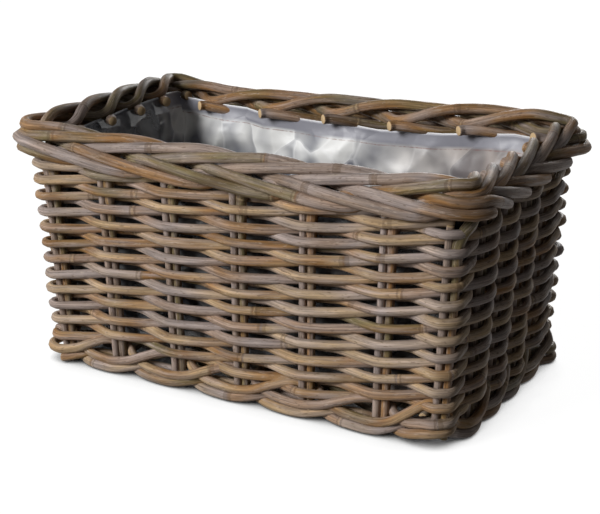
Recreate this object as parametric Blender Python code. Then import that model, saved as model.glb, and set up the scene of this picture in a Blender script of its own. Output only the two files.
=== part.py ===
"""Rattan planter: a rectangular basket of whole grey rattan rods with a loose film liner.

Twenty-two pairs of upright stakes stand in a ring. A wale of two rows holds them at the foot: in each
row two rods cross in every gap between pairs. Above it twelve strands climb round the wall side by
side, each in front of one pair and behind the next (randing). A strand is two rods, one after the
other. Over the wall one stake of each pair is bent over and plaited with the others into the thick
border, and its end is cut off inside, under the border. The base is a mat of one rod woven over and
under cross sticks, whose ends lie between the two rows of the wale. Nothing is glued or nailed: each
rod is held by the rods that cross it.

The ring of stakes is counted anticlockwise seen from above, from the front left corner. A place on it
is a turn (whole numbers are stakes), a distance out from the line of the stakes, and a height.
"""

import math

import bmesh
import bpy
from mathutils import Vector

mm = 0.001

# The line that the stakes stand on: at the floor, and at the top of the wall
foot_length = 390 * mm
foot_width = 212 * mm
top_length = 410 * mm
top_width = 217 * mm
wall_height = 185 * mm
corner_cut = 4.5 * mm  # a corner stake stands this far in from both sides of its corner

# Hand spacing of the stakes between two corner stakes, as shares of the side
long_side_shares = (0.17, 0.335, 0.503, 0.667, 0.846)
short_side_shares = (0.19, 0.39, 0.595, 0.8)

# Rods
rod_gap = 0.3 * mm  # room left between rods that lie on each other
stake_diameter = 7 * mm
pair_squeeze = 0.6 * mm  # how far the two stakes of a pair press into each other
weaver_diameter = 6.6 * mm
weave_gap = 0.8 * mm  # room left between a weaver and the rods that it bends round
rod_end_share = 0.25  # of a weaver's diameter: its end stops this far short of a stake's middle
strand_count = 12  # even, so that of two strands that lie on each other one is always in front
strand_zero_height = 2.6 * mm  # where the first strand's slope, carried on, meets the first stake
end_bend = 1.4 * mm  # a strand may begin this far over its own slope, and end this far under it

# The wale at the foot: two rows, each of two rods, so the rods of a row take the pairs by turns
wale_lift = 0.4 * mm  # its lowest rods lie this far over the floor
wale_cross_share = 0.97  # of a layer: how far over one rod the next one crosses it, in a gap
wale_level_share = 0.15  # of a gap: a rod runs level this far on both sides of the gap's middle
wale_front_share = 1.4  # of a layer: how far the upper row lies over the lower one, in front
wale_seat_share = 0.5  # of a layer: how far the lower row rises behind the stakes

# Border
corner_rise = 8 * mm  # the border climbs this much towards its corners
corner_flare = 7 * mm  # and leans this far out there
border_rod_diameter = 7.8 * mm
border_pack_gap = 0.6 * mm  # room left between two rods of the plait
bye_stake_drop = 2 * mm  # the bye-stakes stop this far under the border

# A border rod's way from its stake to its cut end: turn past the stake, then how far out, and how far
# under the top of the border, in lays. It rises under three rods, crosses the top inwards, dips out
# again under two rods, slopes down the outside over one, and goes in between two stakes.
border_route_shares = (
    (0.25, -0.1, 3.0),
    (0.65, -0.15, 2.65),
    (1.05, -0.15, 1.45),
    (1.4, 0.1, 0.5),
    (1.8, -0.35, 0.4),
    (2.2, -1.0, 0.45),
    (2.7, -1.6, 0.95),
    (2.95, -1.7, 1.65),
    (3.25, -1.15, 2.25),
    (3.5, -0.2, 1.6),
    (3.75, 0.75, 1.05),
    (4.1, 1.45, 1.5),
    (4.5, 1.7, 2.3),
    (5.0, 1.7, 3.2),
    (5.25, 1.4, 3.85),
    (5.5, 0.15, 4.1),
    (5.85, -1.45, 3.5),
    (6.4, -1.95, 2.9),
)

# Base
base_stick_diameter = 8 * mm
end_stick_gap = 5.5 * mm  # between the end of an end stick and the weavers in the wall
base_end_gap = 4 * mm  # between the base rod's turns and the wall
base_side_inset = 20 * mm  # from the line of the stakes to the base rod's first and last pass
base_pass_count = 14
base_turn_share = 0.85  # the turn's two bends lie this share of a pass's clearance over and under

# Liner
film_thickness = 0.8 * mm
liner_clearance = 0.6 * mm
liner_corner_radius = 14 * mm
liner_corner_steps = 3

weaver_sides = 6
wale_sides = 5
stake_sides = 5
stick_sides = 8

# Colour in linear light, roughness
weaver_finish = ((0.19, 0.125, 0.075, 1.0), 0.5)
wale_finish = ((0.23, 0.15, 0.09, 1.0), 0.5)
stake_finish = ((0.15, 0.11, 0.07, 1.0), 0.5)
base_finish = ((0.17, 0.12, 0.08, 1.0), 0.55)
film_finish = ((0.75, 0.76, 0.78, 1.0), 0.2)
film_alpha = 0.35

side_normals = (Vector((0, -1)), Vector((1, 0)), Vector((0, 1)), Vector((-1, 0)))
stake_count = 2 * (len(long_side_shares) + len(short_side_shares)) + len(side_normals)
back_left_corner = stake_count - len(short_side_shares) - 1
half_pair = (stake_diameter - pair_squeeze) / 2
half_diagonal = math.sqrt(0.5)
wall_clear = (stake_diameter + weaver_diameter) / 2 + weave_gap
base_clear = (base_stick_diameter + weaver_diameter) / 2 + rod_gap
solver_steps = 30

# Heights that follow from the rods, over the floor
border_lay = border_rod_diameter + border_pack_gap
layer = weaver_diameter + weave_gap
climb = strand_count * layer / stake_count
stick_seat = (base_stick_diameter + weaver_diameter) / 2 + rod_gap
wale_foot = wale_lift + weaver_diameter / 2
wale_cross = wale_cross_share * layer
base_height = wale_foot + wale_seat_share * layer + stick_seat
wale_row_heights = (  # behind the stakes, on the way out, in front
    (base_height - stick_seat, wale_foot, wale_foot),
    (base_height + stick_seat, wale_foot + 2 * wale_cross, wale_foot + wale_front_share * layer),
)
weave_foot = wale_foot + 2 * len(wale_row_heights) * wale_cross
weave_top = wall_height - weaver_diameter / 2
border_depth_share = max(drop for _, _, drop in border_route_shares)
border_height = wall_height + border_depth_share * border_lay + border_rod_diameter / 2 + rod_gap


def clear_scene():
    for obj in list(bpy.data.objects):
        bpy.data.objects.remove(obj, do_unlink=True)


def finish_material(name, finish, alpha=1.0):
    colour, roughness = finish
    material = bpy.data.materials.new(name)
    material.use_nodes = True
    shader = material.node_tree.nodes["Principled BSDF"]
    shader.inputs["Base Color"].default_value = colour
    shader.inputs["Roughness"].default_value = roughness
    shader.inputs["Metallic"].default_value = 0
    shader.inputs["Alpha"].default_value = alpha
    return material


def half_sizes(height):
    """Half length and half width of the line of the stakes at this height."""
    share = height / wall_height
    length = foot_length + (top_length - foot_length) * share
    width = foot_width + (top_width - foot_width) * share
    return length / 2, width / 2


def stake_ring(height):
    """The foot point and the outward normal of each stake on its line at this height."""
    x, y = half_sizes(height)
    corners = (Vector((-x, -y)), Vector((x, -y)), Vector((x, y)), Vector((-x, y)))
    ring = []
    for side, normal in enumerate(side_normals):
        start = corners[side]
        end = corners[(side + 1) % len(corners)]
        diagonal = (side_normals[side - 1] + normal).normalized()
        ring.append((start - diagonal * (corner_cut / half_diagonal), diagonal))
        shares = short_side_shares if side % 2 else long_side_shares
        ring.extend((start.lerp(end, share), normal) for share in shares)
    return ring


def place(turn, out, height):
    """The point at this turn of the ring, this far out from the line of the stakes."""
    ring = stake_ring(height)
    before = math.floor(turn)
    share = turn - before
    spot, normal = ring[before % stake_count]
    next_spot, next_normal = ring[(before + 1) % stake_count]
    facing = normal.lerp(next_normal, share).normalized()
    spot = spot.lerp(next_spot, share) + facing * out
    return Vector((spot.x, spot.y, height))


def corner_share(turn):
    """How near this turn is to a corner of the border: nothing along the sides, almost one at a corner."""
    spot = place(turn, 0, wall_height)
    x, y = half_sizes(wall_height)
    return (spot.x / x) ** 4 * (spot.y / y) ** 2


def half_gap(stake):
    """Half the way to the nearer neighbouring stake."""
    here = place(stake, 0, wall_height)
    ways = [(place(stake + step, 0, wall_height) - here).length for step in (-1, 1)]
    return min(ways) / 2


def reach(clear, run, step=0):
    """How far out a strand stands at a rod, so that its straight run stays this clear of the rod.

    The run ends on the line of the rods, this far along it. Where two rods stand there as a pair, the
    farther one stands step aside from the pair's place.
    """
    out = clear
    for _ in range(solver_steps):
        out = (clear * math.hypot(run, out) + step * out) / run
    return out


def wall_depth():
    """How far in from the line of the stakes the woven wall reaches."""
    widest = max(reach(wall_clear, half_gap(stake), half_pair) for stake in range(stake_count))
    return widest + weaver_diameter / 2


def end_slip(stake):
    """How far past this stake a rod's end lies, as a turn."""
    return (weaver_diameter * rod_end_share + rod_gap) / (2 * half_gap(stake))


def corner_side(stake):
    """The side that begins at this stake, or None where the stake isn't at a corner."""
    firsts = [0]
    for side in range(len(side_normals) - 1):
        gaps = len(short_side_shares if side % 2 else long_side_shares) + 1
        firsts.append(firsts[-1] + gaps)
    here = stake % stake_count
    return firsts.index(here) if here in firsts else None


def outside_points(stake, height):
    """A strand's points in front of a stake: one, or two that wrap it round a corner."""
    side = corner_side(stake)
    if side is None:
        return [place(stake, reach(wall_clear, half_gap(stake), half_pair), height)]
    step = half_pair * half_diagonal
    out = step + reach(wall_clear, half_gap(stake), step)
    spot = place(stake, 0, height)
    return [spot + normal.to_3d() * out for normal in (side_normals[side - 1], side_normals[side])]


def inside_points(stake, height, slip=0):
    """A strand's point behind a stake. An end slips along the ring, so that two ends don't touch."""
    out = reach(wall_clear, half_gap(stake), half_pair if corner_side(stake) is None else 0)
    return [place(stake + slip, -out, height)]


def strand_height(strand, turn):
    """Middle height of a strand of the wall, which climbs evenly round the ring."""
    return strand_zero_height + strand * layer + turn * climb


def strand_ends(strand):
    """The stakes that a strand starts and ends behind, next to the foot and the top of the wall."""
    first = math.ceil((weave_foot - end_bend - strand_height(strand, 0)) / climb)
    last = math.floor((weave_top + end_bend - strand_height(strand, 0)) / climb)
    return first + (first + strand) % 2, last - (last + strand) % 2


def strand_points(strand, first, last):
    """A rod of a strand: behind one stake, in front of the next, and so on, climbing from first to last."""
    points = []
    for stake in range(first, last + 1):
        height = min(max(strand_height(strand, stake), weave_foot), weave_top)
        if (stake - first) % 2:
            points += outside_points(stake, height)
        else:
            slip = {first: end_slip(stake), last: -end_slip(stake)}.get(stake, 0)
            points += inside_points(stake, height, slip)
    return points


def wale_gap_points(turn, height, way):
    """A wale rod's level run through the middle of a gap, on its way out (1) or in (-1)."""
    out = way * wale_level_share * 2 * wall_clear
    return [place(turn + step * wale_level_share, step * out, height) for step in (-1, 1)]


def wale_points(row, first):
    """A rod of the wale: behind its first stake, in front of the next, and so on, once round.

    In each gap it crosses the row's other rod, under it on the way out and over it on the way in.
    Behind the stakes the lower row carries the ends of the base sticks, and the upper row holds them
    down.
    """
    behind, leaving, in_front = wale_row_heights[row]
    last = first + stake_count
    points = inside_points(first, behind, end_slip(first))
    for stake in range(first + 1, last, 2):
        points += wale_gap_points(stake - 0.5, leaving, 1)
        points += outside_points(stake, in_front)
        points += wale_gap_points(stake + 0.5, leaving + wale_cross, -1)
        slip = -end_slip(last) if stake + 1 == last else 0
        points += inside_points(stake + 1, behind, slip)
    return points


def stake_tangent(stake, height):
    """The ring's direction at a stake: its outward normal turned a quarter anticlockwise."""
    normal = stake_ring(height)[stake % stake_count][1]
    return Vector((-normal.y, normal.x, 0))


def stake_points(stake, aside, height):
    """The foot and the head of one rod of a pair, standing aside from the pair's middle."""
    return [place(stake, 0, z) + stake_tangent(stake, z) * aside for z in (0, height)]


def border_points(stake):
    """The plaited run of a stake's rod, above the wall."""
    points = []
    for turn, out, drop in border_route_shares:
        share = corner_share(stake + turn)
        height = border_height + corner_rise * share - drop * border_lay
        points.append(place(stake + turn, corner_flare * share + out * border_lay, height))
    return points


def rod_mesh(name, points, radii, sides, stands_facing=None):
    """A rod along the points: a ring of corners at each, joined by faces, with its ends cut square.

    Each ring stands across the bend at its point, and is carried from ring to ring without twist. A rod
    that stands on the floor has its foot cut level, and a corner of its section faces the way given.
    """
    steps = [(b - a).normalized() for a, b in zip(points, points[1:])]
    ways = [steps[0]] + [(a + b).normalized() for a, b in zip(steps, steps[1:])] + [steps[-1]]
    side = steps[0].orthogonal().normalized()
    if stands_facing:
        ways[0] = Vector((0, 0, 1))
        side = stands_facing
    mesh = bmesh.new()
    rings = []
    for point, way, radius in zip(points, ways, radii):
        side = (side - way * side.dot(way)).normalized()
        across = way.cross(side)
        ring = []
        for corner in range(sides):
            angle = 2 * math.pi * corner / sides
            spoke = side * math.cos(angle) + across * math.sin(angle)
            ring.append(mesh.verts.new(point + spoke * radius))
        rings.append(ring)
    for low, high in zip(rings, rings[1:]):
        for corner in range(sides):
            after = (corner + 1) % sides
            mesh.faces.new((low[corner], low[after], high[after], high[corner])).smooth = True
    mesh.faces.new(reversed(rings[0]))
    mesh.faces.new(rings[-1])
    data = bpy.data.meshes.new(name)
    mesh.to_mesh(data)
    mesh.free()
    return data


def add_object(name, data, material):
    data.materials.append(material)
    obj = bpy.data.objects.new(name, data)
    bpy.context.scene.collection.objects.link(obj)
    return obj


def add_rod(name, points, diameter, sides, material):
    radii = [diameter / 2] * len(points)
    return add_object(name, rod_mesh(name, points, radii, sides), material)


def add_strands(material):
    """The strands of the wall. Each is a lower rod, a, and a rod that goes on where it ends, b."""
    for strand in range(strand_count):
        first, last = strand_ends(strand)
        middle = first + 2 * round((last - first) / 4)
        for letter, start, end in (("a", first, middle), ("b", middle, last)):
            name = f"weaver_{strand + 1:02d}_{letter}"
            points = strand_points(strand, start, end)
            add_rod(name, points, weaver_diameter, weaver_sides, material)


def add_wale(material):
    for row in range(len(wale_row_heights)):
        for letter, first in (("a", back_left_corner - 1), ("b", back_left_corner - 2)):
            points = wale_points(row, first)
            add_rod(f"wale_{row + 1}_{letter}", points, weaver_diameter, wale_sides, material)


def add_stakes(material):
    """Each pair is one piece: the stake that runs on into the border, and its shorter bye-stake."""
    for stake in range(stake_count):
        run = border_points(stake)
        points = stake_points(stake, half_pair, wall_height - border_lay) + run
        radii = [stake_diameter / 2] * 2 + [border_rod_diameter / 2] * len(run)
        name = f"stake_{stake + 1:02d}"
        data = rod_mesh(name, points, radii, stake_sides, -stake_tangent(stake, 0))
        fuse_bye_stake(add_object(name, data, material), stake)


def fuse_bye_stake(obj, stake):
    points = stake_points(stake, -half_pair, wall_height - bye_stake_drop)
    radii = [stake_diameter / 2] * 2
    data = rod_mesh(f"{obj.name}_bye", points, radii, stake_sides, stake_tangent(stake, 0))
    bye = bpy.data.objects.new(f"{obj.name}_bye", data)
    bye.hide_render = True
    bye.display_type = "WIRE"
    bpy.context.scene.collection.objects.link(bye)
    union = obj.modifiers.new("fuse the bye-stake", "BOOLEAN")
    union.operation = "UNION"
    union.solver = "EXACT"
    union.object = bye


def base_stick_ends():
    """Both ends of each stick, from the left: an end stick, one to each pair of stakes, an end stick.

    The ends of the middle sticks lie between the two rows of the wale.
    """
    x, y = half_sizes(base_height)
    end_x = x - wall_depth() - base_end_gap - weaver_diameter / 2 - base_clear
    end_y = y - weaver_diameter / 2 - end_stick_gap
    seat = stake_diameter / 2 + rod_gap
    ends = [(Vector((-end_x, -end_y, base_height)), Vector((-end_x, end_y, base_height)))]
    for stake in range(1, len(long_side_shares) + 1):
        across = back_left_corner - stake
        ends.append((place(stake, -seat, base_height), place(across, -seat, base_height)))
    ends.append((Vector((end_x, -end_y, base_height)), Vector((end_x, end_y, base_height))))
    return ends


def base_lifts(ends):
    """How far over or under the middle of each stick the base rod passes."""
    gaps = [(after[0] - before[0]).length for before, after in zip(ends, ends[1:])]
    runs = [min(gaps[max(number - 1, 0) : number + 1]) / 2 for number in range(len(ends))]
    return [reach(base_clear, run) for run in runs]


def base_weaver_points(ends):
    """One rod laid to and fro across the sticks, over one and under the next, turning at the ends."""
    lifts = base_lifts(ends)
    first_y = base_side_inset - half_sizes(base_height)[1]
    pitch = -2 * first_y / (base_pass_count - 1)
    points = []
    for line in range(base_pass_count):
        y = first_y + line * pitch
        forwards = line % 2 == 0
        for number in range(len(ends)) if forwards else reversed(range(len(ends))):
            front, back = ends[number]
            share = (y - front.y) / (back.y - front.y)
            over = 1 if (number + line) % 2 == 0 else -1
            spot = front.lerp(back, share)
            points.append(Vector((spot.x, y, base_height + over * lifts[number])))
        if line < base_pass_count - 1:
            edge = points[-1].x + (base_clear if forwards else -base_clear)
            bend = over * base_clear * base_turn_share
            for share, up in ((1 / 3, bend), (2 / 3, -bend)):
                points.append(Vector((edge, y + share * pitch, base_height + up)))
    return points


def add_base(material):
    ends = base_stick_ends()
    for number, pair in enumerate(ends):
        name = f"base_stick_{number + 1}"
        add_rod(name, list(pair), base_stick_diameter, stick_sides, material)
    points = base_weaver_points(ends)
    add_rod("base_weaver", points, weaver_diameter, wale_sides, material)


def liner_outline(height, inset):
    """A rounded rectangle this far in from the line of the stakes."""
    x, y = half_sizes(height)
    radius = liner_corner_radius
    points = []
    for side, normal in enumerate(side_normals):
        before = side_normals[side - 1]
        corner = before + normal
        centre = Vector((corner.x * (x - inset - radius), corner.y * (y - inset - radius)))
        for step in range(liner_corner_steps + 1):
            angle = step / liner_corner_steps * math.pi / 2
            spot = centre + (before * math.cos(angle) + normal * math.sin(angle)) * radius
            points.append(Vector((spot.x, spot.y, height)))
    return points


def add_liner(material):
    """A thin tray of film inside the woven wall, open at the top and standing on the base."""
    inset = wall_depth() + liner_clearance
    base_top = base_height + max(base_lifts(base_stick_ends())) + weaver_diameter / 2
    foot = base_top + liner_clearance
    lowest_stub = max(drop for turn, out, drop in border_route_shares if out < -1)
    head = border_height - lowest_stub * border_lay - border_rod_diameter / 2 - liner_clearance
    inner = inset + film_thickness
    layers = (
        liner_outline(foot, inset),
        liner_outline(head, inset),
        liner_outline(head, inner),
        liner_outline(foot + film_thickness, inner),
    )
    mesh = bmesh.new()
    loops = [[mesh.verts.new(point) for point in layer] for layer in layers]
    count = len(loops[0])
    for low, high in zip(loops, loops[1:]):
        for corner in range(count):
            after = (corner + 1) % count
            mesh.faces.new((low[corner], low[after], high[after], high[corner]))
    mesh.faces.new(reversed(loops[0]))
    mesh.faces.new(loops[-1])
    data = bpy.data.meshes.new("liner")
    mesh.to_mesh(data)
    mesh.free()
    add_object("liner", data, material)


def main():
    clear_scene()
    add_wale(finish_material("Grey rattan, wale", wale_finish))
    add_strands(finish_material("Grey rattan, weavers", weaver_finish))
    add_stakes(finish_material("Grey rattan, stakes", stake_finish))
    add_base(finish_material("Grey rattan, base", base_finish))
    add_liner(finish_material("Clear film", film_finish, film_alpha))


main()
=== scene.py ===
import math

import bpy
import numpy as np
from bpy.props import FloatProperty, FloatVectorProperty, IntProperty, PointerProperty
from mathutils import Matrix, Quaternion, Vector


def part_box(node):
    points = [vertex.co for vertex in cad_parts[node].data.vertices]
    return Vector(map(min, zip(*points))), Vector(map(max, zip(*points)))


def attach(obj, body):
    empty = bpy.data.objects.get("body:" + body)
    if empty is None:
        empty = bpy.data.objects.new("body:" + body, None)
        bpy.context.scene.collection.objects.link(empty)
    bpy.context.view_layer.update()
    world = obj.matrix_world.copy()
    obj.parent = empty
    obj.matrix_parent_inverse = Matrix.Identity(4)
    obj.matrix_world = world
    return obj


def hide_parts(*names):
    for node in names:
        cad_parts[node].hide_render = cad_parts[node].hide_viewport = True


bl_info = {
    "name": "Rattan planter",
    "version": (1, 0, 0),
    "blender": (4, 5, 0),
    "location": "3D View > Sidebar > Planter",
    "description": "Dresses a rectangular rattan planter: weave, plaited border, base and film liner",
    "category": "Object",
}

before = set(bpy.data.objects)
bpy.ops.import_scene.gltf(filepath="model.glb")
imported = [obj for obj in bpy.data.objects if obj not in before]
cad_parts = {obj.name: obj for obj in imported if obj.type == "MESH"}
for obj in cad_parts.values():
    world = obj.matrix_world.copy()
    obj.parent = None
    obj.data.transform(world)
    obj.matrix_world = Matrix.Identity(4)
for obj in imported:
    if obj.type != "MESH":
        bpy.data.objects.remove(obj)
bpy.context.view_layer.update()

MM = 0.001
UP = np.array([0.0, 0.0, 1.0])

# The photo's width, and how far the middle of its view is off, in pixels
IMAGE_WIDTH = 600
IMAGE_SHIFT = (-1.6, 0.2)

# About a gap between two stakes: wobbles along a woven rod are reckoned with it
GAP = 60 * MM

# Places of the stakes along a side, as shares of it, anticlockwise from the front left corner
LONG_SIDE_SHARES = (0.17, 0.335, 0.503, 0.667, 0.846)
SHORT_SIDE_SHARES = (0.19, 0.39, 0.595, 0.8)
STAKE_COUNT = 2 * (len(LONG_SIDE_SHARES) + len(SHORT_SIDE_SHARES) + 2)
FRONT_RIGHT_CORNER = len(LONG_SIDE_SHARES) + 1
BACK_RIGHT_CORNER = FRONT_RIGHT_CORNER + len(SHORT_SIDE_SHARES) + 1
BACK_LEFT_CORNER = STAKE_COUNT - len(SHORT_SIDE_SHARES) - 1
STRAND_COUNT = 12

# Where each stake stands, as turns from -1 on: the corner pairs stand a little way along the long sides
STAKE_TURNS = np.arange(-1.0, STAKE_COUNT + 2)
STAKE_TURNS[[1, BACK_RIGHT_CORNER + 1, STAKE_COUNT + 1]] += 0.13
STAKE_TURNS[[FRONT_RIGHT_CORNER + 1, BACK_LEFT_CORNER + 1]] -= 0.1

# Where a rod crosses the line of the stakes on the short sides, close to the corner pairs: the even turn,
# and the turn there
CORNER_CROSSINGS = ((-0.5, -0.2), (6.5, 6.3), (10.5, 10.8), (17.5, 17.3), (21.5, 21.8))

# How far an outer rod stands out round the corners, as a share of its even reach: turn and share. It hugs
# the front right pair and bulges at the front left and the back right one.
CORNER_REACH = (
    (0, 1.4), (0.3, 1), (5.85, 1), (6.08, 0.12), (6.3, 0.12), (6.6, 1), (10.4, 1), (10.8, 1.6), (11.1, 1.5),
    (11.4, 1), (21.5, 1), (21.8, 1.5),
)

# The front right corner pair ends over the floor, and the wale rises there
SHORT_FEET = 8 * MM
WALE_RISE = 9 * MM

# All other feet stay this far over the floor
FOOT_GAP = 0.6 * MM

# A border rod's way: turn past its stake, how far out in lays, and how far under the border's top in drops
BORDER_ROUTE_SHARES = (
    (0.1, 0.0, 4.2), (0.3, 0.1, 3.2), (0.6, 0.25, 2.3), (0.9, 0.45, 1.55), (1.25, 0.6, 0.95),
    (1.6, 0.4, 0.5), (2.0, 0.0, 0.2), (2.4, -0.6, 0.0), (2.75, -1.3, 0.45), (3.05, -1.75, 1.4),
    (3.3, -1.25, 2.0), (3.5, -0.2, 1.95), (3.75, 0.7, 1.75), (4.1, 1.4, 1.95), (4.5, 1.7, 2.4),
    (5.0, 1.7, 3.05), (5.3, 1.35, 3.45), (5.55, 0.5, 3.7), (5.75, -0.7, 3.35), (5.95, -1.65, 2.85),
    (6.1, -2.2, 2.55), (6.24, -2.65, 2.4), (6.3, -3.25, 2.35),
)

# How the hand-laid border departs from an even one: turn, rise in millimetres, and share of the even drop
BORDER_EASE = (
    (0, -2, 1), (3, 0, 1), (10, 0, 1), (11, 0, 1), (11.4, 6, 0.88), (12, 8.5, 0.88), (12.5, 7, 0.92),
    (13.3, 4.8, 0.92), (14.3, 2.7, 0.88), (15.3, -1, 0.84), (16, -4, 0.84), (17, -4, 0.88), (18, 5, 0.92),
    (19, 8, 0.92), (20, 8, 0.92), (21, 5, 0.95),
)

# How far the border leans out at a corner, in flares; at the front left one by how far under the border's
# top a rod is, in drops
CORNER_LEAN = 0.8
FRONT_LEFT_LEAN = ((0, 1.8), (2.0, 1.4), (2.6, 0.8), (3.2, 0.1), (3.7, -0.4))

# Height of the film's edge at some turns, in millimetres: tucked up, or sagging between two cut ends
FILM_EDGE = (
    (0, 208), (1, 203), (4, 202), (8, 202), (10.5, 209), (11.6, 213), (11.9, 210.5), (12.6, 205), (13.3, 202),
    (13.55, 201), (13.9, 202.5), (14.35, 201), (15.36, 202), (15.6, 206), (16.2, 206), (16.5, 208), (17, 208),
    (17.4, 214), (17.9, 216), (18.3, 215), (19.7, 214), (20.4, 213), (21.2, 211),
)

# Depth of the film's seam under its edge, in millimetres
SEAM_DEPTH = 14.0

# A wale rod's way in each row, repeated every two stakes: turn past the stake that it lies behind, how
# far out in reaches, and how high in layers
WALE_ROUTE_SHARES = (
    (
        (0, -1, 0.92), (0.22, -0.35, 0.54), (0.45, 0.55, 0.53), (0.7, 0.95, 0.55), (1, 1, 0.72),
        (1.25, 0.6, 1.2), (1.45, -0.2, 1.5), (1.7, -0.85, 1.35),
    ),
    (
        (0, -1, 3.3), (0.12, -0.75, 3.0), (0.24, -0.1, 2.4), (0.5, 0.6, 1.85), (0.8, 0.95, 1.7),
        (1, 1, 1.72), (1.25, 0.97, 2.2), (1.5, 0.72, 3.1), (1.79, 0.1, 3.9),
    ),
)


def length(name, description, millimetres):
    return FloatProperty(name=name, description=description, default=millimetres * MM, min=0, unit="LENGTH")


def degrees(name, description, default):
    return FloatProperty(name=name, description=description, default=math.radians(default), subtype="ANGLE")


def colour(name, description, default):
    """A colour property; its default is written as sRGB hex."""
    return FloatVectorProperty(
        name=name, description=description, default=linear(default), size=4, min=0, max=1, subtype="COLOR"
    )


def linear(hex_colour):
    """sRGB hex to linear light, with full alpha."""
    parts = [int(hex_colour[i : i + 2], 16) / 255 for i in (1, 3, 5)]
    light = [p / 12.92 if p <= 0.04045 else ((p + 0.055) / 1.055) ** 2.4 for p in parts]
    return (*light, 1.0)


class PlanterSizes(bpy.types.PropertyGroup):
    foot_length: length("Foot length", "Length of the line of the stakes at the floor", 390)
    foot_width: length("Foot width", "Width of the line of the stakes at the floor", 212)
    top_length: length("Top length", "Length of the line of the stakes at the top of the wall", 410)
    top_width: length("Top width", "Width of the line of the stakes at the top of the wall", 217)
    wall_height: length("Wall height", "Height of the woven wall under the border", 184.8)
    corner_radius: length("Corner radius", "Radius of the line of the stakes at a corner", 6)
    border_radius: length("Border corner radius", "The same radius at the height of the border", 3)
    stake_thickness: length("Stake thickness", "Diameter of an upright rod", 7)
    weaver_thickness: length("Weaver thickness", "Diameter of a woven rod", 8.1)
    border_thickness: length("Border rod thickness", "Diameter of a rod of the plaited border", 9.6)
    layer: length("Layer", "Height between two rods that cross in the wall", 7.4)
    weave_zero: length("Weave zero", "Height at which the first strand would pass the first stake", 2.6)
    weave_foot: length("Weave foot", "Lowest height of a strand's middle", 22.5)
    weave_top: length("Weave top", "Greatest height of a strand's middle", 190)
    weave_sway: length("Weave sway", "How far the hand-woven strands dip and rise together", 2.2)
    corner_flare: length("Corner flare", "How far the border leans out at its corners", 7)
    pair_room: length("Pair room", "Between the middles of the two rods of a stake pair", 8.2)
    border_height: length("Border height", "Height of the border in the middle of a side", 219.5)
    border_lay: length("Border lay", "Room that one rod takes in the plait, from inside to outside", 8.4)
    border_drop: length("Border drop", "Room that one rod takes in the plait, from top to bottom", 7.2)
    corner_rise: length("Corner rise", "How much the border climbs towards its corners", 8)
    stick_thickness: length("Base stick thickness", "Diameter of a cross stick of the base", 8)
    base_height: length("Base height", "Middle height of the cross sticks", 15)
    base_inset: length("Base inset", "From the line of the stakes to the base rod's first pass", 20)
    base_passes: IntProperty(name="Base passes", description="Passes of the base rod", default=14, min=2)
    film_thickness: length("Film thickness", "Thickness that the liner is drawn with", 0.25)


class PlanterFinish(bpy.types.PropertyGroup):
    grey: colour("Weathered grey", "Rods that have greyed most", "#A3958F")
    taupe: colour("Taupe", "Grey rods with a pink cast", "#95806F")
    straw: colour("Straw", "Rods that have stayed pale", "#B49A78")
    tan: colour("Tan", "Rods of a warm middle brown", "#9A7856")
    amber: colour("Amber", "The most golden rods", "#946D44")
    olive: colour("Olive", "Rods with a green cast", "#7E7150")
    umber: colour("Umber", "The darkest rods", "#5E4A37")
    # Painted shade: a near-black colour laid over the border's left run where it lies in shade.
    left_run_shade: colour("Left run shade", "Painted shade on the left run of the border", "#1E1A14")
    scuff: colour("Scuff", "Pale scuffs where the skin is rubbed", "#C9B7A6")
    pith: colour("Pith", "Cut end of a rod", "#D2B58C")
    film: colour("Film", "The clear liner", "#EAEAE8")
    # Painted shade: the grey laid on film panels that lie back from the light.
    film_painted_fold_shade: colour("Film in folds", "The film where it lies back", "#777982")
    # Painted reflection: warm tones of the right wall's rods laid on the film, darker where it lies back.
    film_warm: colour("Warm film", "The film that mirrors the rods of the right wall", "#B9ABA4")
    film_warm_grey: colour("Warm film in folds", "The same, where it lies back", "#6C625D")
    film_band: colour("Film band", "The doubled band over the seam", "#8F8F98")
    film_seam: colour("Film seam", "The welded seam", "#7A4A42")
    # Painted shade: a near-black colour laid on the film in front of the shaded walls.
    film_painted_shade: colour("Shaded film", "The film in front of the dark of the other walls", "#26282E")
    # Painted highlight: white laid on the film's creases and along its cut edge.
    white: colour("White", "Creases and cut edge of the film", "#FFFFFF")
    floor: colour("Floor", "The floor under the planter", "#F2F2F0")
    floor_unseen: colour("Floor unseen", "The floor as it throws light back on the planter", "#6E6E6C")


class PlanterStage(bpy.types.PropertyGroup):
    azimuth: degrees("Azimuth", "Camera's turn to the right of the front", 29.65)
    elevation: degrees("Elevation", "Camera's height over the horizon", 19.11)
    roll: degrees("Roll", "Camera's turn about its own view", -0.23)
    distance: length("Distance", "From the camera to its target", 1323.8)
    target_height: length("Target height", "Height of the point that the camera faces", 98.7)
    focal_pixels: FloatProperty(
        name="Focal length", description="Focal length in picture pixels", default=1455.95, min=1,
        subtype="PIXEL",
    )


def sizes():
    return bpy.context.scene.planter_sizes


def finish():
    return bpy.context.scene.planter_finish


# Places on the ring of stakes


def side_tables():
    """For each stake: the side it begins a gap on, and its share and the next one's along that side."""
    side_of, before, after = [], [], []
    for side in range(4):
        shares = (0, *(SHORT_SIDE_SHARES if side % 2 else LONG_SIDE_SHARES), 1)
        side_of += [side] * (len(shares) - 1)
        before += shares[:-1]
        after += shares[1:]
    return np.array(side_of), np.array(before, float), np.array(after, float)


SIDE_OF, SHARE_BEFORE, SHARE_AFTER = side_tables()


def half_sizes(height):
    """Half length and half width of the line of the stakes, straight from the floor to the wall's top."""
    s = sizes()
    share = np.asarray(height) / s.wall_height
    long_half = (s.foot_length + (s.top_length - s.foot_length) * share) / 2
    short_half = (s.foot_width + (s.top_width - s.foot_width) * share) / 2
    return long_half, short_half


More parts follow.
